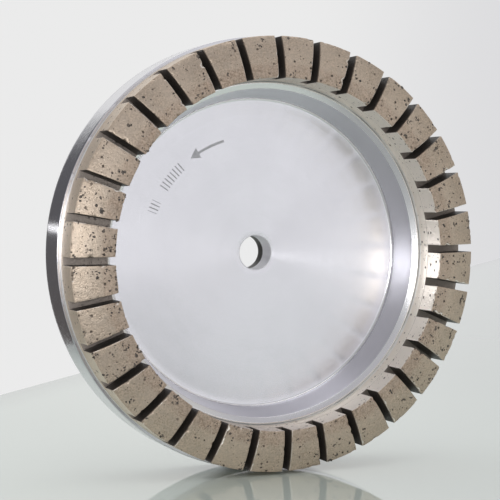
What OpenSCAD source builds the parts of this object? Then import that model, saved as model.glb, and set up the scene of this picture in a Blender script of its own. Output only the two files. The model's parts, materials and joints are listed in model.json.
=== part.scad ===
// Segmented diamond cup wheel for grinding the edges of glass and stone.
// The wheel's axis lies along Y, its working face looks towards -Y, and it can stand on its rim.
// The origin is on the axis, half way between the hub's back face and the highest part of the
// working face. Heights below are measured forwards from the hub's back face.

/* [Wheel] */
// Outer diameter of the metal rim
wheel_d = 150; // [140:1:180]
// Height over everything, from the hub's back face to the inner edge of the working face
wheel_h = 38.6; // [36:0.1:46.4]

/* [Cup body] */
// Thickness of the disc at the bore
web_t = 12.1; // [9:0.1:14]
// How far the rim's back edge stands ahead of the hub's back face
rim_back = 7.8; // [3:0.1:8.5]
// Diameter of the flat hub face on the back
hub_d = 62; // [30:1:90]
// How much narrower the recess is at its floor than at the lip, on the radius
wall_draft = 2.8; // [0.5:0.1:6]
// Small rounding in the corner of the recess floor, made as a chamfer
floor_chamfer = 0.8; // [0.2:0.1:1.5]
// Chamfer on the rim's outer edges
rim_chamfer = 0.4; // [0.1:0.1:1]

/* [Locating lip] */
// Radial width of the lip that centres the diamond ring
lip_w = 2.2; // [1.2:0.1:4]
// Height of the lip's crest above the seat
lip_h = 0.8; // [0.4:0.1:2]
// Width of the flat crest, outside the slope that leads down to the recess
crest_w = 0.4; // [0.2:0.1:1]
// How far that slope drops
crest_drop = 1; // [0:0.1:2]
// Radial gap between the lip and the ring, filled with solder
lip_gap = 0.4; // [0.2:0.05:0.8]

/* [Diamond ring] */
// How much smaller than the rim the ring is, on the diameter
ring_step = 1.9; // [0.4:0.1:4]
// Radial width of the ring
ring_w = 14.35; // [10:0.05:18]
// Thickness of the backing ring at its outer wall
base_t = 3.6; // [3:0.1:7]
// Height of a segment, which is the depth of the slots
segment_h = 9; // [6:0.5:11]
// How much lower the outer edge of the face is than the inner edge
face_drop = 3; // [0:0.1:4]
// How far the face bulges above a straight line from edge to edge
face_crown = 0.75; // [0:0.05:1.5]
// Number of segments, and of slots
segment_count = 32; // [16:1:48]
// Width of a slot
slot_w = 2.7; // [1.5:0.1:4]
// Angle of the first slot above the horizontal
slot_start = 1.1; // [0:0.1:11]

/* [Solder joint] */
// Thickness of the solder layer under the backing ring
solder_t = 0.3; // [0.2:0.05:0.6]
// How far the solder rises in the gap round the lip
solder_rise = 0.25; // [0.1:0.05:0.35]

/* [Bore] */
// Diameter of the bore, which fits the machine's spindle
bore_d = 12; // [10:0.5:22]
// Chamfer at both ends of the bore
bore_chamfer = 0.3; // [0.1:0.1:0.6]
// Outer diameter of the steel bush pressed into the back of the bore
bush_d = 19; // [16:0.5:28]
// Length of the bush
bush_len = 4.5; // [3:0.5:7]

/* [Hidden] */
$fn = 192;
wheel_r = wheel_d / 2;
ring_r = (wheel_d - ring_step) / 2;
ring_in_r = ring_r - ring_w;
face_out_h = wheel_h - face_drop;
slot_out_h = face_out_h - segment_h;
slot_in_h = wheel_h - segment_h;
seat_h = slot_out_h - base_t - solder_t;
lip_out_r = ring_in_r - lip_gap;
lip_in_r = lip_out_r - lip_w;
lip_top_h = seat_h + lip_h;
bead_top_h = seat_h + solder_t + solder_rise;
floor_r = lip_in_r - wall_draft;
bore_r = bore_d / 2;
bush_r = bush_d / 2;
hub_r = hub_d / 2;
segment_pitch = 360 / segment_count;
// Corner where the two slot walls of one segment would meet
wedge_tip = slot_w / 2 / sin(segment_pitch / 2);
wedge_len = wheel_d;
face_steps = 4;

function segment_name(i) = str("segment_", i < 10 ? "0" : "", i);

// The bulge is held low enough that the face never rises above its inner edge
bulge = min(4 * face_crown, face_drop);

// Height of the working face at a part t of the way from its inner to its outer edge
function face_at(t) = wheel_h - face_drop * t + bulge * t * (1 - t);

// Profiles are drawn as radius and height, turned about the axis and laid along Y
module turned() {
    rotate([90, 0, 0])
        translate([0, 0, -wheel_h / 2])
            rotate_extrude()
                children();
}

module cup_body() {
    color("#c9c8cf")
        turned()
            polygon([
                [bush_r, 0],
                [hub_r, 0],
                [wheel_r - rim_chamfer, rim_back],
                [wheel_r, rim_back + rim_chamfer],
                [wheel_r, seat_h - rim_chamfer],
                [wheel_r - rim_chamfer, seat_h],
                [lip_out_r, seat_h],
                [lip_out_r, lip_top_h],
                [lip_out_r - crest_w, lip_top_h],
                [lip_in_r, lip_top_h - crest_drop],
                [floor_r, web_t + floor_chamfer],
                [floor_r - floor_chamfer, web_t],
                [bore_r + bore_chamfer, web_t],
                [bore_r, web_t - bore_chamfer],
                [bore_r, bush_len],
                [bush_r, bush_len]
            ]);
}

module bore_bush() {
    color("#4a4a4e")
        turned()
            polygon([
                [bore_r + bore_chamfer, 0],
                [bush_r, 0],
                [bush_r, bush_len],
                [bore_r, bush_len],
                [bore_r, bore_chamfer]
            ]);
}

module solder_joint() {
    color("#d8d6d2")
        turned()
            polygon([
                [lip_out_r, seat_h],
                [ring_r, seat_h],
                [ring_r, seat_h + solder_t],
                [ring_in_r, seat_h + solder_t],
                [ring_in_r, bead_top_h],
                [lip_out_r, bead_top_h]
            ]);
}

module backing_ring() {
    color("#a3937c")
        turned()
            polygon([
                [ring_in_r, seat_h + solder_t],
                [ring_r, seat_h + solder_t],
                [ring_r, slot_out_h],
                [ring_in_r, slot_in_h]
            ]);
}

// One abrasive segment between two neighbouring slots, whose walls are parallel to each slot's middle
module segment(i) {
    middle = slot_start + segment_pitch * (i - 0.5);
    color("#a59683")
        rotate([90, 0, 0])
            translate([0, 0, -wheel_h / 2])
                rotate([0, 0, middle])
                    intersection() {
                        rotate_extrude(angle = segment_pitch, start = -segment_pitch / 2)
                            polygon(concat(
                                [[ring_r, slot_out_h]],
                                [for (k = [face_steps : -1 : 0])
                                    [ring_in_r + ring_w * k / face_steps, face_at(k / face_steps)]],
                                [[ring_in_r, slot_in_h]]
                            ));
                        linear_extrude(height = wheel_h)
                            polygon([
                                [wedge_tip, 0],
                                [
                                    wedge_tip + wedge_len * cos(segment_pitch / 2),
                                    -wedge_len * sin(segment_pitch / 2)
                                ],
                                [
                                    wedge_tip + wedge_len * cos(segment_pitch / 2),
                                    wedge_len * sin(segment_pitch / 2)
                                ]
                            ]);
                    }
}

cup_body();
bore_bush();
solder_joint();
backing_ring();
for (i = [1 : segment_count])
    segment(i);
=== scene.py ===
"""Looks of a segmented diamond cup wheel, built round its CAD frame.

The wheel's axis lies along Y and its working face looks towards -Y. Everything is in metres.
A profile is a list of (radius, y) pairs, and a turned piece carries it once round the axis.
"""

import json
import math

import bpy
import numpy as np
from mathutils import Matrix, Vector


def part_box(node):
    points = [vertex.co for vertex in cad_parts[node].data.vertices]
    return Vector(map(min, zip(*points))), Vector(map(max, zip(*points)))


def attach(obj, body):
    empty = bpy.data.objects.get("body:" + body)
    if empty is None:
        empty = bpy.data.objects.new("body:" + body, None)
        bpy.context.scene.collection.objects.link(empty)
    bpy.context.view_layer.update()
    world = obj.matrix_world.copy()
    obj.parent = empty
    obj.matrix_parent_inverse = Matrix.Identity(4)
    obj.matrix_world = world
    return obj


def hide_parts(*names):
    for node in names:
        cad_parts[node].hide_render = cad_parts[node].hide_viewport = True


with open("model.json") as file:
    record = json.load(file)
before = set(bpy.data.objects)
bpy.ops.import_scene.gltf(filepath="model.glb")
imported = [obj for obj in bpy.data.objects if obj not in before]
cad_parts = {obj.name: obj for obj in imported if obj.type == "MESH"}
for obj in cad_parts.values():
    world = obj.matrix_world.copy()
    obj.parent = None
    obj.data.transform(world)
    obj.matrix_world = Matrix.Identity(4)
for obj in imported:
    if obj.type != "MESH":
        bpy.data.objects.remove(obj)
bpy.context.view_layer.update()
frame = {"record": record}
rng = np.random.default_rng(20)

MM = 0.001
# The lathe's lines are finer than the eye can part, so that only their sheen shows
LINES_PER_METRE = 1500000.0

# ---------------------------------------------------------------- sizes of the wheel
body_low, body_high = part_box("cup_body")
ring_low, ring_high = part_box("backing_ring")
bush_low, bush_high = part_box("bore_bush")
solder_low, solder_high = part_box("solder_joint")
mounts = {m["name"]: m for m in frame["record"]["mounts"]}

rim_r = body_high.x
back_y = body_high.y
front_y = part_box("segment_01")[0].y
ring_r = ring_high.x
seat_y = solder_high.y
ring_back_y = ring_high.y
bush_r = bush_high.x
bush_front_y = bush_low.y
bore_r = mounts["spindle_bore"]["dims"]["r_mm"] * MM
floor_y = mounts["hub_front"]["pos_m"][1]
behind_disc_y = floor_y + 0.8 * MM

ring_w = 14.35 * MM
ring_in_r = ring_r - ring_w
lip_gap = 0.4 * MM
lip_w = 2.2 * MM
crest_w = 0.4 * MM
crest_drop = 1.0 * MM
lip_out_r = ring_in_r - lip_gap
lip_in_r = lip_out_r - lip_w
lip_y = body_low.y
floor_r = lip_in_r - 2.8 * MM
hub_r = 31.0 * MM
rim_back_y = back_y - 7.8 * MM
face_drop = 3.0 * MM
face_bulge = 3.0 * MM
segment_h = 9.0 * MM
slot_w = 2.7 * MM
slot_start = 1.1
segment_count = 32
pitch = 2 * math.pi / segment_count


# ---------------------------------------------------------------- mesh making
def add_mesh(name, points, faces, smooth=True):
    """Puts arrays of points and faces into a new object at the origin."""
    points = points.reshape(-1, 3)
    faces = faces.reshape(-1, faces.shape[-1])
    mesh = bpy.data.meshes.new(name)
    mesh.from_pydata(points.tolist(), [], faces.tolist())
    mesh.polygons.foreach_set("use_smooth", [smooth] * len(mesh.polygons))
    mesh.update()
    piece = bpy.data.objects.new(name, mesh)
    bpy.context.scene.collection.objects.link(piece)
    return piece


def rounded(corners, radii, steps=6):
    """Closed profile with each corner replaced by an arc.

    At a corner whose sides turn through the angle t, the arc of radius r starts and ends
    r * tan(t / 2) away from it, and its points are spread evenly over the angle t.
    """
    corners = np.asarray(corners, float)
    before = np.roll(corners, 1, axis=0) - corners
    after = np.roll(corners, -1, axis=0) - corners
    reach_in = np.linalg.norm(before, axis=1)
    reach_out = np.linalg.norm(after, axis=1)
    before /= reach_in[:, None]
    after /= reach_out[:, None]
    half = np.arccos(np.clip((before * after).sum(1), -1, 1)) / 2
    radii = np.asarray(radii, float)
    cut = np.minimum(radii / np.tan(half), 0.45 * np.minimum(reach_in, reach_out))
    radii = cut * np.tan(half)
    inward = before + after
    inward /= np.linalg.norm(inward, axis=1)[:, None]
    centres = corners + inward * (radii / np.sin(half))[:, None]
    starts = corners + before * cut[:, None] - centres
    ends = corners + after * cut[:, None] - centres
    part = np.linspace(0, 1, steps)[None, :, None]
    sweep = np.arccos(np.clip((starts * ends).sum(1) / np.maximum(radii ** 2, 1e-18), -1, 1))
    sweep = np.maximum(sweep, 1e-6)[:, None, None]
    arc = np.sin((1 - part) * sweep) * starts[:, None] + np.sin(part * sweep) * ends[:, None]
    arc /= np.sin(sweep)
    return (centres[:, None] + arc).reshape(-1, 2)


def fill_in(profile, longest):
    """Closed profile with points added along its sides, so that none is longer than given."""
    ahead = np.roll(profile, -1, axis=0)
    count = np.ceil(np.linalg.norm(ahead - profile, axis=1) / longest).astype(int)
    count = np.maximum(count, 1)
    start = np.repeat(np.arange(len(profile)), count)
    step = np.arange(len(start)) - np.repeat(np.cumsum(count) - count, count)
    part = (step / count[start])[:, None]
    return profile[start] * (1 - part) + ahead[start] * part


def turned(name, corners, sides=512, steps=6, longest=2.0 * MM):
    """Surface of revolution: a closed profile (r, y) carried round the Y axis.

    Each corner is given as (r, y, rounding in mm). A point is (r cos a, y, r sin a), where a
    runs over one full turn. The profile is first made to run anticlockwise, with r to the right
    and y up. Each quad runs first round the axis and then along the profile, so it faces inwards.
    """
    corners = np.array(corners)
    profile = fill_in(rounded(corners[:, :2], corners[:, 2] * MM, steps), longest)
    r, y = profile.T
    if (r * np.roll(y, -1) - np.roll(r, -1) * y).sum() < 0:
        r, y = profile[::-1].T
    a = np.arange(sides) * 2 * math.pi / sides
    places = np.broadcast_arrays(r[:, None] * np.cos(a), y[:, None], r[:, None] * np.sin(a))
    row = np.arange(len(r))[:, None] * sides
    next_row = np.roll(row, -1, axis=0)
    col = np.arange(sides)[None]
    next_col = np.roll(col, -1)
    quads = np.stack([row + col, row + next_col, next_row + next_col, next_row + col], axis=-1)
    return add_mesh(name, np.stack(places, axis=-1), quads)


# ---------------------------------------------------------------- shader writing
class Value:
    """A shader socket that takes part in Python arithmetic, each operation adding a Math node."""

    def __init__(self, finish, socket):
        self.finish = finish
        self.socket = socket

    def math(self, operation, *others):
        return self.finish.node("ShaderNodeMath", {"operation": operation}, dict(enumerate((self,) + others)))

    def __add__(self, other):
        return self.math("ADD", other)

    def __mul__(self, other):
        return self.math("MULTIPLY", other)

    def __sub__(self, other):
        return self.math("SUBTRACT", other)

    def __truediv__(self, other):
        return self.math("DIVIDE", other)

    def __gt__(self, other):
        return self.math("GREATER_THAN", other)

    def __lt__(self, other):
        return self.math("LESS_THAN", other)

    def __rsub__(self, other):
        return self.finish.node("ShaderNodeMath", {"operation": "SUBTRACT"}, {0: other, 1: self})

    __radd__ = __add__
    __rmul__ = __mul__


class Finish:
    """One material being written, with a single method that adds any node."""

    def __init__(self, name, **constants):
        self.material = bpy.data.materials.new(name)
        self.material.use_nodes = True
        self.nodes = self.material.node_tree.nodes
        self.links = self.material.node_tree.links
        self.shader = self.nodes["Principled BSDF"]
        for socket, value in constants.items():
            self.shader.inputs[socket.replace("_", " ")].default_value = value
        self.place = self.node("ShaderNodeTexCoord", out="Object")

    def node(self, kind, settings=None, inputs=None, out=0):
        made = self.nodes.new(kind)
        for key, value in (settings or {}).items():
            setattr(made, key, value)
        for key, value in (inputs or {}).items():
            if isinstance(value, Value):
                self.links.new(value.socket, made.inputs[key])
            else:
                made.inputs[key].default_value = value
        return Value(self, made.outputs[out])

    def feed(self, **links):
        for socket, value in links.items():
            self.links.new(value.socket, self.shader.inputs[socket.replace("_", " ")])

    def mix(self, amount, first, second):
        """Colour between two colours, by an amount from 0 to 1."""
        first, second = (c if isinstance(c, Value) else (*c, 1) for c in (first, second))
        return self.node("ShaderNodeMix", {"data_type": "RGBA"}, {0: amount, 6: first, 7: second}, out=2)

    def vector(self, operation, *parts, out=0):
        return self.node("ShaderNodeVectorMath", {"operation": operation}, dict(enumerate(parts)), out)

    def noise(self, scale, detail, out=0):
        inputs = {"Vector": self.place, "Scale": scale, "Detail": detail}
        return self.node("ShaderNodeTexNoise", {}, inputs, out)

    def noise_along(self, position, scale, detail):
        return self.node("ShaderNodeTexNoise", {"noise_dimensions": "1D"},
                         {"W": position, "Scale": scale, "Detail": detail})

    def spots(self, scale, place, full, none, chance, channel=0):
        """Spots at the middles of some of a Voronoi pattern's cells, chosen by a chance.

        A spot is full up to one distance from its middle and has faded out at the next. A cell
        is chosen if one channel of its random colour is below the chance.
        """
        cell = {"Vector": place, "Scale": scale}
        near = self.step(self.node("ShaderNodeTexVoronoi", {}, cell), full, none, 1.0, 0.0)
        return near * (self.split(self.node("ShaderNodeTexVoronoi", {}, cell, out=1))[channel] < chance)

    def step(self, value, low, high, to_low=0.0, to_high=1.0):
        """Smooth change from one number to another while a value passes from low to high."""
        return self.node("ShaderNodeMapRange", {"interpolation_type": "SMOOTHSTEP"},
                         {0: value, 1: low, 2: high, 3: to_low, 4: to_high})

    def band(self, value, low, high, soft):
        """1 while a value lies between two limits, else 0, with soft edges."""
        return self.step(value, low - soft, low + soft) * self.step(value, high - soft, high + soft, 1.0, 0.0)

    def bump(self, height, strength, distance):
        return self.node("ShaderNodeBump", {}, {"Strength": strength, "Distance": distance, "Height": height})

    def split(self, vector):
        return [self.node("ShaderNodeSeparateXYZ", {}, {0: vector}, out=k) for k in range(3)]

    def polar(self):
        """Distance from the wheel's axis, angle round it in degrees, and y, of each point."""
        x, y, z = self.split(self.place)
        return (x * x + z * z).math("SQRT"), z.math("ARCTAN2", x) * math.degrees(1), y

    def round_axis(self):
        """Direction round the wheel's axis at each point: the cross product of Y and its place."""
        return self.vector("NORMALIZE", self.vector("CROSS_PRODUCT", (0, 1, 0), self.place))

    def along_axis(self, r, y):
        """Distance that grows along any turned surface, across the lines of the lathe."""
        return r + y * 1.3

    def lathe_lines(self, r, y, tilt, tail):
        """Normal leant back and forth across fine lines that run round the axis.

        The normal leans along its own cross product with the lines' direction. Each line has a
        random number u from -1 to 1, and leans by tilt u, and by a further tail u^5 where u is
        negative, or about half of that where it is positive, so that most lines lean little and
        a few lean far towards the axis.
        """
        normal = self.node("ShaderNodeNewGeometry", out="Normal")
        across = self.vector("CROSS_PRODUCT", normal, self.round_axis())
        line = (self.along_axis(r, y) * LINES_PER_METRE).math("FLOOR")
        chance = self.node("ShaderNodeTexWhiteNoise", {"noise_dimensions": "1D"}, {"W": line}) * 2 - 1
        lean = chance * tilt + chance.math("POWER", 5.0) * tail * self.step(chance, -0.1, 0.1, 1.0, 0.55)
        scaled = self.node("ShaderNodeVectorMath", {"operation": "SCALE"}, {0: across, "Scale": lean})
        return self.vector("NORMALIZE", self.vector("ADD", normal, scaled))


# ---------------------------------------------------------------- materials
def turned_aluminium():
    """Lathe-turned aluminium, with fine lines cut round the axis and a grey etched mark on its disc."""
    f = Finish("turned_aluminium")
    r, angle, y = f.polar()
    blotch = f.noise(45.0, 3.0)
    lines = f.noise_along(f.along_axis(r, y), 1500.0, 3.0)
    tone = f.mix(f.step(blotch, 0.3, 0.7), (0.78, 0.775, 0.815), (0.83, 0.825, 0.865))
    on_rim = f.step(r, rim_r - 2.0 * MM, rim_r - 0.4 * MM)
    outside_bore = f.step(r, bore_r + 0.1 * MM, bore_r + 0.5 * MM)
    in_front = y < behind_disc_y
    tone = f.mix(lines * (on_rim * 0.55 + 0.03), tone, (0.5, 0.5, 0.52))
    # A curved arrow for the sense of rotation, then two groups of plain strokes
    arc = f.band(r, 40.5 * MM, 41.4 * MM, 0.1 * MM) * f.band(angle, 107.0, 122.0, 0.2)
    reach = (angle - 121.5) * (-0.4 * MM) + 2.0 * MM
    head = ((r - 40.95 * MM).math("ABSOLUTE") < reach) * (angle > 121.5) * (angle < 126.5)
    stroke = f.step((angle / 1.9).math("PINGPONG", 0.5), 0.13, 0.19, 1.0, 0.0)
    strokes = stroke * (f.band(angle, 132.0, 147.3, 0.1) + f.band(angle, 153.9, 159.6, 0.1))
    strokes = strokes * f.band(r, 39.2 * MM, 42.7 * MM, 0.1 * MM)
    mark = (arc + head + strokes).math("MINIMUM", 1.0) * in_front
    mark = mark * f.step(f.noise(1800.0, 2.0), 0.3, 0.6, 0.55, 0.9)
    tone = f.mix(mark, tone, (0.36, 0.36, 0.37))
    # The reamed bore and the recess's wall are duller than the disc, and the rim is smoother
    dull = (1 - outside_bore) * 0.25 - on_rim * 0.05
    dull = dull + f.band(r, floor_r + 0.3 * MM, lip_in_r + 0.1 * MM, 0.2 * MM) * in_front * 0.17
    # Painted highlights: the corner of the recess and the lip are painted lighter
    bright = f.band(r, floor_r - 0.45 * MM, floor_r + 0.1 * MM, 0.1 * MM) * 0.7
    bright = bright + f.band(r, lip_in_r + 0.1 * MM, lip_out_r + 0.2 * MM, 0.1 * MM) * 0.85
    tone = f.mix(bright * in_front, tone, (0.99, 0.99, 1.0))
    f.feed(
        Base_Color=tone,
        Metallic=outside_bore * 0.85 + 0.15,
        Roughness=f.step(blotch, 0.3, 0.7, 0.15, 0.18) + mark * 0.3 + dull,
        Normal=f.lathe_lines(r, y, 0.05, f.step(r, floor_r - 1.0 * MM, floor_r, 0.4, 0.0)),
    )
    return f.material


def bush_steel():
    """Dark oxidised steel."""
    f = Finish("bush_steel", Metallic=0.8, Roughness=0.45)
    grain = f.noise(1500.0, 3.0)
    tone = f.mix(grain, (0.035, 0.033, 0.033), (0.1, 0.095, 0.09))
    f.feed(Base_Color=tone, Normal=f.bump(grain, 0.3, 0.1 * MM))
    return f.material


def solder_metal():
    """Pale solder, slightly lumpy, with painted shade in stretches of the gap between lip and ring."""
    f = Finish("solder", Metallic=1.0, Roughness=0.4)
    lumps = f.noise(900.0, 4.0)
    shaded_gap = f.band(f.polar()[0], lip_out_r - 1.0 * MM, ring_in_r, 0.05 * MM)
    tone = f.mix(lumps, (0.55, 0.54, 0.52), (0.86, 0.85, 0.82))
    # Painted shade: dark stretches on the solder in the gap between the lip and the ring
    tone = f.mix(f.step(f.noise(30.0, 2.0), 0.4, 0.5) * shaded_gap * 0.45, tone, (0.05, 0.05, 0.055))
    f.feed(Base_Color=tone, Normal=f.bump(lumps, 0.8, 0.2 * MM))
    return f.material


def sintered_bond(name):
    """Sintered metal bond, tan and finely mottled, with dark pits, and with painted shade inside the slots.

    Part runs from 0 at the ring's inner wall to 1 at its outer wall. The depth of a point is how
    far it lies behind the working face. A slot's walls are told by a normal that points round
    the axis.
    """
    f = Finish(name)
    r, angle, y = f.polar()
    fine = f.noise(1900.0, 4.0)
    cloud = f.noise(420.0, 4.0)
    broad = f.noise(75.0, 2.0)
    tone = f.mix(f.step(fine, 0.3, 0.7), (0.31, 0.234, 0.175), (0.59, 0.463, 0.362))
    tone = f.mix(f.step(cloud, 0.35, 0.7) * 0.5, tone, (0.41, 0.337, 0.277))
    tone = f.mix(f.step(broad, 0.35, 0.65) * 0.35, tone, (0.62, 0.503, 0.403))
    jitter = f.vector("MULTIPLY_ADD", f.noise(2200.0, 1.0, out=1), (0.0007,) * 3, f.place)
    coarse = f.spots(520.0, jitter, 0.16, 0.3, 0.22)
    pits = coarse.math("MAXIMUM", f.spots(1300.0, jitter, 0.18, 0.34, 0.16) * 0.75)
    tone = f.mix(pits * f.step(broad, 0.3, 0.6, 0.55, 1.0), tone, (0.075, 0.06, 0.05))
    # Painted highlights: a few small pale specks stand in for grit glinting in the light
    tone = f.mix(f.spots(1500.0, f.place, 0.1, 0.2, 0.02, channel=1), tone, (0.9, 0.87, 0.78))
    part = (r - ring_in_r) / ring_w
    face_y = part * face_drop + front_y - part * (1 - part) * face_bulge
    depth = y - face_y
    normal = f.node("ShaderNodeNewGeometry", out="Normal")
    sideways = f.vector("DOT_PRODUCT", normal, f.round_axis(), out="Value")
    worn = f.band(part + (cloud - 0.5) * 0.1, 0.33, 1.0, 0.08) * (depth < 1.0 * MM)
    tone = f.mix(worn * (1 - pits) * 0.17, tone, (0.82, 0.74, 0.6))
    slot_wall_shade = f.step(sideways.math("ABSOLUTE"), 0.45, 0.8) * f.step(depth, 0.1 * MM, 1.2 * MM)
    slot_floor_shade = f.step(f.split(normal)[1] * -1, 0.6, 0.8) * (depth > segment_h - 2.0 * MM)
    on_wall = f.step((part - 0.5).math("ABSOLUTE"), 0.49, 0.5)
    # The ring's walls are paler than its face, partly as ground metal and partly as painted light; the inner
    # wall is painted lighter towards the right, where the light falls on it
    paler_and_painted_light = f.step(f.split(f.place)[0] / r, -0.1, 0.6, 0.3, 0.9) * (part < 0.5) + (part > 0.5) * 0.5
    wall_tone = f.mix(part > 0.5, (1.0, 0.93, 0.82), (0.95, 0.81, 0.64))
    tone = f.mix(on_wall * (1 - pits) * paler_and_painted_light, tone, wall_tone)
    # A painted highlight along one edge of every slot
    slot_edge_highlight = f.band(sideways, 0.2, 0.8, 0.1) * (depth < 0.5 * MM) * f.step(f.noise(350.0, 1.0), 0.4, 0.55)
    tone = f.mix(slot_edge_highlight * 0.8, tone, (0.98, 0.94, 0.88))
    # Painted shade: the slots' floors are darkened, and their deep walls nearly to black
    tone = f.mix(slot_floor_shade * 0.75, tone, (0.26, 0.235, 0.22))
    tone = f.mix(slot_wall_shade * 0.95, tone, (0.028, 0.024, 0.022))
    # Solder smeared up from the joint
    smear = f.step(f.noise(260.0, 3.0) * 1.6 * MM + y, ring_back_y - 1.1 * MM, ring_back_y - 0.3 * MM)
    tone = f.mix(smear * 0.85, tone, (0.95, 0.94, 0.92))
    f.feed(
        Base_Color=tone,
        Metallic=(1 - slot_wall_shade) * 0.6,
        Roughness=(1 - on_wall) * 0.1 + pits * 0.2 + 0.36 - worn * 0.1,
        Normal=f.bump(fine * 0.6 + cloud - pits * 1.2, 0.5, 0.25 * MM),
    )
    return f.material


def diamond_grain():
    """Dark, slightly glossy grains of grit."""
    f = Finish("diamond_grain", Roughness=0.4, Metallic=0.1)
    grain = f.noise(900.0, 2.0)
    tone = f.mix(f.step(grain, 0.35, 0.65), (0.045, 0.037, 0.031), (0.15, 0.122, 0.1))
    f.feed(Base_Color=tone, Normal=f.bump(grain, 0.4, 0.1 * MM))
    return f.material


finishes = {
    "turned_aluminium": turned_aluminium(),
    "bush_steel": bush_steel(),
    "solder": solder_metal(),
    "sintered_backing": sintered_bond("sintered_backing"),
    "diamond_bond": sintered_bond("diamond_bond"),
    "diamond_grain": diamond_grain(),
}


def dress(piece, finish, slot, *nodes):
    """Gives a piece its finish and its body, and hides the CAD nodes that it stands for."""
    piece.data.materials.append(finishes[finish])
    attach(piece, "root")
    if nodes:
        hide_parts(*nodes)
    return piece


# ---------------------------------------------------------------- turned pieces
cup = turned("cup_body_turned", [
    (bush_r, back_y, 0.02), (hub_r, back_y, 1.0), (rim_r, rim_back_y, 0.5), (rim_r, seat_y, 0.15),
    (lip_out_r, seat_y, 0.05), (lip_out_r, lip_y, 0.12), (lip_out_r - crest_w, lip_y, 0.12),
    (lip_in_r, lip_y + crest_drop, 0.3), (floor_r, floor_y, 0.9), (bore_r, floor_y, 0.25),
    (bore_r, bush_front_y, 0.02), (bush_r, bush_front_y, 0.02),
])
dress(cup, "turned_aluminium", "turned_aluminium", "cup_body")

bush = turned("bore_bush_reamed", [
    (bush_r, back_y, 0.05), (bush_r, bush_front_y, 0.05), (bore_r, bush_front_y, 0.02), (bore_r, back_y, 0.3),
], sides=128)
dress(bush, "bush_steel", "bush_steel", "bore_bush")

bead = turned("solder_bead", [
    (lip_out_r, seat_y, 0.02), (ring_r, seat_y, 0.1), (ring_r, ring_back_y, 0.1),
    (ring_in_r, ring_back_y, 0.02), (ring_in_r, solder_low.y, 0.05), (lip_out_r, solder_low.y, 0.05),
], steps=4)
dress(bead, "solder", "solder", "solder_joint")

backing = turned("backing_ring_sintered", [
    (ring_in_r, ring_back_y, 0.05), (ring_r, ring_back_y, 0.15),
    (ring_r, ring_low.y + face_drop, 0.1), (ring_in_r, ring_low.y, 0.1),
], steps=4, longest=1.0 * MM)
dress(backing, "sintered_backing", "sintered_backing", "backing_ring")


# ---------------------------------------------------------------- segments
def bent(across, along, up, middle):
    """Place of a point of a segment, from three numbers that run from -1 to 1 through its block.

    The first runs over the ring's radius, the second over the angle that this radius leaves
    between the parallel walls of two slots, and the third from the slot's floor to the crowned face.
    """
    part = (across + 1) / 2
    r = ring_in_r + part * ring_w
    angle = middle + along * (pitch / 2 - np.arcsin(slot_w / 2 / r))
    floor = ring_low.y + face_drop * part
    face = front_y + face_drop * part - face_bulge * part * (1 - part)
    y = floor + (face - floor) * (up + 1) / 2
    return np.stack([r * np.cos(angle), y, r * np.sin(angle)], axis=-1)


def side_spread(count, edge):
    """Places along a side from -1 to 1, closer together over the rounded edges."""
    rim = np.array([0.0, 0.25, 0.55]) * edge
    return np.concatenate([-1 + rim, np.linspace(-1 + edge, 1 - edge, count), (1 - rim)[::-1]])


def rounded_block(counts, size, radius):
    """Surface of a block with rounded edges, as points and outward directions, with its quads.

    Six grids cover the block. Each point is clamped to an inner box smaller by the edge radius,
    and pushed out from there by that radius along the line to its first place.
    """
    size = np.asarray(size, float)
    sides = [side_spread(counts[k], radius / size[k] * 2) for k in range(3)]
    points, quads, start = [], [], 0
    for axis in range(3):
        for side in (-1, 1):
            first, second = ((axis + 1) % 3, (axis + 2) % 3)[::side]
            grid = np.full((len(sides[first]), len(sides[second]), 3), float(side))
            grid[..., first] = sides[first][:, None]
            grid[..., second] = sides[second][None]
            index = start + np.arange(grid[..., 0].size).reshape(grid.shape[:2])
            around = [index[:-1, :-1], index[1:, :-1], index[1:, 1:], index[:-1, 1:]]
            quads.append(np.stack(around, axis=-1).reshape(-1, 4))
            points.append(grid.reshape(-1, 3))
            start += grid[..., 0].size
    points, quads = np.concatenate(points), np.concatenate(quads)
    # Points that two grids share become one
    shared = np.unique(np.round(points, 7), axis=0, return_index=True, return_inverse=True)
    points, quads = points[shared[1]], shared[2].reshape(-1)[quads]
    spot = points * size / 2
    inner = np.clip(spot, radius - size / 2, size / 2 - radius)
    out = spot - inner
    out /= np.maximum(np.linalg.norm(out, axis=1, keepdims=True), 1e-12)
    return (inner + out * radius), out, quads


block_size = np.array([ring_w, 10.4 * MM, segment_h])
edge_rounding = 0.16 * MM
block, block_out, block_quads = rounded_block((34, 26, 18), block_size, edge_rounding)


def chipped(seed):
    """Block with small bites out of its edges.

    A bite of radius c pushes a point at distance d from its centre inwards by
    0.4 c (1 - d^2 / c^2).
    """
    dice = np.random.default_rng(seed)
    count = 16
    centre = dice.uniform(-0.5, 0.5, (count, 3)) * block_size
    edge = np.where(dice.random((count, 2)) < 0.5, -0.5, 0.5)
    kind = dice.random(count)
    centre[:, 2] = 0.5 * block_size[2]
    on_arc = kind < 0.55
    centre[on_arc, 0] = (edge[:, 0] * block_size[0])[on_arc]
    centre[~on_arc, 1] = (edge[:, 1] * block_size[1])[~on_arc]
    bite = dice.uniform(0.25, 1.0, count) ** 2.5 * MM
    distance = np.linalg.norm(block[:, None] - centre[None], axis=2)
    depth = (bite * np.clip(1 - (distance / bite) ** 2, 0, 1) * 0.4).max(axis=1)
    worn = (block - block_out * depth[:, None]) / (block_size / 2)
    return np.clip(worn, -1, 1)


middles = np.radians(slot_start) + pitch * (np.arange(segment_count) + 0.5)
for number, middle in enumerate(middles, 1):
    name = "segment_%02d" % number
    worn = chipped(number)
    # The quads are reversed, so they face inwards, as those of the turned pieces do
    piece = add_mesh(name + "_block", bent(worn[:, 0], worn[:, 1], worn[:, 2], middle), block_quads[:, ::-1])
    dress(piece, "diamond_bond", "diamond_bond", name)


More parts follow.
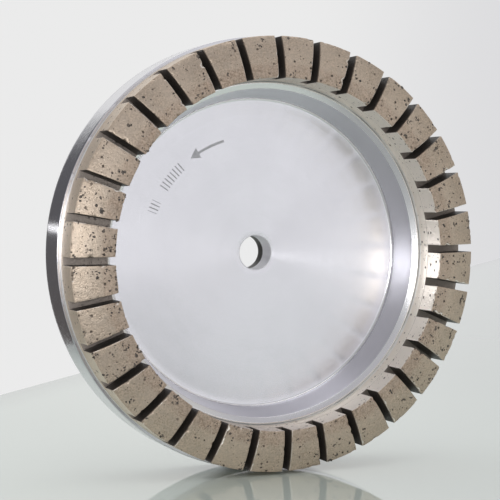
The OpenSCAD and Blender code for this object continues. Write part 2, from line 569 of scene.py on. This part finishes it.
# ---------------------------------------------------------------- grit
def icosahedron():
    """Corners and triangles of a regular icosahedron of radius 1."""
    g = (1 + math.sqrt(5)) / 2
    corners = np.array([
        (-1, g, 0), (1, g, 0), (-1, -g, 0), (1, -g, 0), (0, -1, g), (0, 1, g),
        (0, -1, -g), (0, 1, -g), (g, 0, -1), (g, 0, 1), (-g, 0, -1), (-g, 0, 1),
    ]) / math.sqrt(1 + g * g)
    faces = np.array([
        (0, 11, 5), (0, 5, 1), (0, 1, 7), (0, 7, 10), (0, 10, 11), (1, 5, 9), (5, 11, 4), (11, 10, 2),
        (10, 7, 6), (7, 1, 8), (3, 9, 4), (3, 4, 2), (3, 2, 6), (3, 6, 8), (3, 8, 9), (4, 9, 5),
        (2, 4, 11), (6, 2, 10), (8, 6, 7), (9, 8, 1),
    ])
    return corners, faces


def grit(count):
    """Flat irregular grains sunk into the working faces, in small nests, more of them near the edges.

    A segment's share of the grains is a random number times 0.3 + cos^2 of the segment's angle.
    """
    share = rng.uniform(0.4, 1.0, segment_count) * (0.3 + np.cos(middles) ** 2)
    nest = rng.integers(0, count // 3, count)
    along = rng.uniform(-0.9, 0.9, count)[nest] + rng.normal(0, 0.13, count)
    across = (np.sin(rng.uniform(-1, 1, count) * math.pi / 2) * 0.9)[nest] + rng.normal(0, 0.08, count)
    along, across = np.clip(along, -0.95, 0.95), np.clip(across, -0.96, 0.96)
    up = np.ones(count)
    middle = rng.choice(middles, count, p=share / share.sum())[nest]
    spot = bent(across, along, up, middle)
    step = 1e-3
    outward = bent(across + step, along, up, middle) - spot
    sideways = bent(across, along + step, up, middle) - spot
    outward /= np.linalg.norm(outward, axis=1, keepdims=True)
    normal = np.cross(outward, sideways)
    normal /= np.linalg.norm(normal, axis=1, keepdims=True)
    normal *= -np.sign(normal[:, 1:2])
    sideways = np.cross(normal, outward)
    corners, faces = icosahedron()
    size = rng.uniform(0.0, 1.0, count) ** 2.5 * 0.42 * MM + 0.15 * MM
    stretch = rng.uniform(0.6, 1.5, (count, 2))
    spin = rng.uniform(0, 2 * math.pi, count)[:, None]
    lump = corners[None] * rng.uniform(0.65, 1.25, (count, len(corners), 1)) * size[:, None, None]
    long = lump[..., 0] * stretch[:, :1]
    wide = lump[..., 1] * stretch[:, 1:]
    u = (long * np.cos(spin) - wide * np.sin(spin))[..., None]
    v = (long * np.sin(spin) + wide * np.cos(spin))[..., None]
    w = (lump[..., 2] * 0.35 - 0.08 * size[:, None])[..., None]
    points = spot[:, None] + u * outward[:, None] + v * sideways[:, None] + w * normal[:, None]
    # No grain stands above the highest part of the face
    points[..., 1] = np.maximum(points[..., 1], front_y)
    triangles = faces[None] + len(corners) * np.arange(count)[:, None, None]
    return points, triangles


grains_per_segment = 32
grit_points, grit_faces = grit(segment_count * grains_per_segment)
dress(add_mesh("diamond_grit", grit_points, grit_faces, smooth=False), "diamond_grain", "diamond_bond")


# ---------------------------------------------------------------- stage
def card(name, corners, colour_low, colour_high):
    """Flat four-cornered sheet that shades from one colour at its foot to another at its top."""
    sheet = add_mesh(name, np.array(corners, float), np.array([[0, 1, 2, 3]]), smooth=False)
    f = Finish(name, Roughness=0.6)
    height = f.split(f.place)[2]
    f.feed(Base_Color=f.mix(f.step(height, corners[0][2], corners[2][2]), colour_low, colour_high))
    sheet.data.materials.append(f.material)


# Glossy pale table whose far left edge passes behind the wheel
table_z = -rim_r
table_edge = np.array([-0.0426, 0.2231])
table_way = np.array([0.64, 0.768])
table_side = np.array([0.768, -0.64])
table_width = 3.0
near_corner = table_edge - table_way * 0.62
far_corner = table_edge + table_way * 4.0
table_corners = [
    (*near_corner, table_z), (*(near_corner + table_side * table_width), table_z),
    (*(far_corner + table_side * table_width), table_z), (*far_corner, table_z),
]
table = add_mesh("pale_floor", np.array(table_corners), np.array([[0, 1, 2, 3]]), smooth=False)
pane = Finish("pale_floor", IOR=1.6, Coat_Roughness=0.03)
pane_x, pane_y = pane.split(pane.place)[:2]
from_edge = (pane_x - table_edge[0]) * table_side[0] + (pane_y - table_edge[1]) * table_side[1]
pane_tone = pane.mix(pane.noise(6.0, 3.0), (0.67, 0.74, 0.68), (0.71, 0.78, 0.72))
pane_tone = pane.mix(pane.step(from_edge, 0.0, 0.03, 1.0, 0.0) * 0.3, pane_tone, (0.3, 0.3, 0.3))
# The near part of the table, in front of the wheel, is a darker, dull cloth
ahead = pane_x * -0.38 - pane_y * 0.92
cloth = pane.step(ahead, 0.065, 0.1) * pane.step(pane_x, 0.02, 0.08, 1.0, 0.0)
pane.feed(
    Base_Color=pane.mix(cloth, pane_tone, (0.38, 0.395, 0.39)),
    Roughness=cloth * 0.6 + 0.035,
    Coat_Weight=(1 - cloth) * 0.3,
)
table.data.materials.append(pane.material)

card("shade_back_left", [(-0.95, 1.2, -0.9), (-0.13, 1.2, -0.9), (-0.13, 1.2, 0.52), (-0.95, 1.2, 0.9)],
     (0.145, 0.118, 0.1), (0.165, 0.165, 0.18))


def soft_light(name, place, width, height, power):
    """Rectangular soft box at a place, facing the wheel."""
    data = bpy.data.lights.new(name, "AREA")
    data.shape = "RECTANGLE"
    data.size, data.size_y = width, height
    data.energy = power
    light = bpy.data.objects.new(name, data)
    light.location = place
    light.rotation_euler = (-Vector(place)).to_track_quat("-Z", "Y").to_euler()
    light.visible_camera = False
    bpy.context.scene.collection.objects.link(light)


soft_light("window_front_left", (-0.746, -1.065, 0.072), 0.95, 0.3, 3.6)
soft_light("window_core", (-0.731, -1.044, 0.09), 0.9, 0.08, 0.8)
soft_light("slit_back_left", (-0.46, 1.15, 0.066), 0.5, 0.024, 0.08)


def room():
    """Pale room: bright behind the wheel and level with it in front, darker above and below in front."""
    world = bpy.data.worlds.new("room")
    world.use_nodes = True
    air = Finish.__new__(Finish)
    air.nodes, air.links = world.node_tree.nodes, world.node_tree.links
    x, y, z = air.split(air.node("ShaderNodeTexCoord", out="Generated"))
    behind = air.step(x, 0.4, 0.55)
    far = air.mix(behind, (0.83, 0.83, 0.83), (0.715, 0.715, 0.73))
    high = air.mix(air.step(z - x * 0.5, -0.09, 0.4), (0.95, 0.95, 0.97), (0.42, 0.415, 0.435))
    high = air.mix(air.step(z, 0.76, 0.92), high, (1.6, 1.6, 1.62))
    high = air.mix(air.step(x, 0.5, 0.8), high, (0.5, 0.49, 0.47))
    high = air.mix(air.step(x, -0.5, -0.15, 1.0, 0.0), high, (0.42, 0.42, 0.43))
    near = air.mix(air.step(z, -0.45, -0.15), (0.3, 0.315, 0.305), high)
    colour = air.mix(air.step(y, -0.15, 0.3), near, far)
    air.links.new(colour.socket, air.nodes["Background"].inputs[0])
    bpy.context.scene.world = world


room()

# ---------------------------------------------------------------- camera
# It looks at the face from its left, a little above the axis
view_azimuth = math.radians(-22.44)
view_elevation = math.radians(1.95)
back = Vector((
    math.sin(view_azimuth) * math.cos(view_elevation),
    -math.cos(view_azimuth) * math.cos(view_elevation),
    math.sin(view_elevation),
))
turn = (-back).to_track_quat("-Z", "Y")
right = turn @ Vector((1, 0, 0))
up = turn @ Vector((0, 1, 0))
camera_data = bpy.data.cameras.new("camera")
camera_data.sensor_width = 36.0
camera_data.lens = 106.9
camera = bpy.data.objects.new("camera", camera_data)
camera.rotation_mode = "QUATERNION"
camera.rotation_quaternion = turn
aim = Vector((0, front_y + face_drop, 0)) - right * 0.01087 + up * 0.00159
camera.location = aim + back * 0.5041
bpy.context.scene.collection.objects.link(camera)
bpy.context.scene.camera = camera
bpy.context.scene.view_settings.view_transform = "Standard"
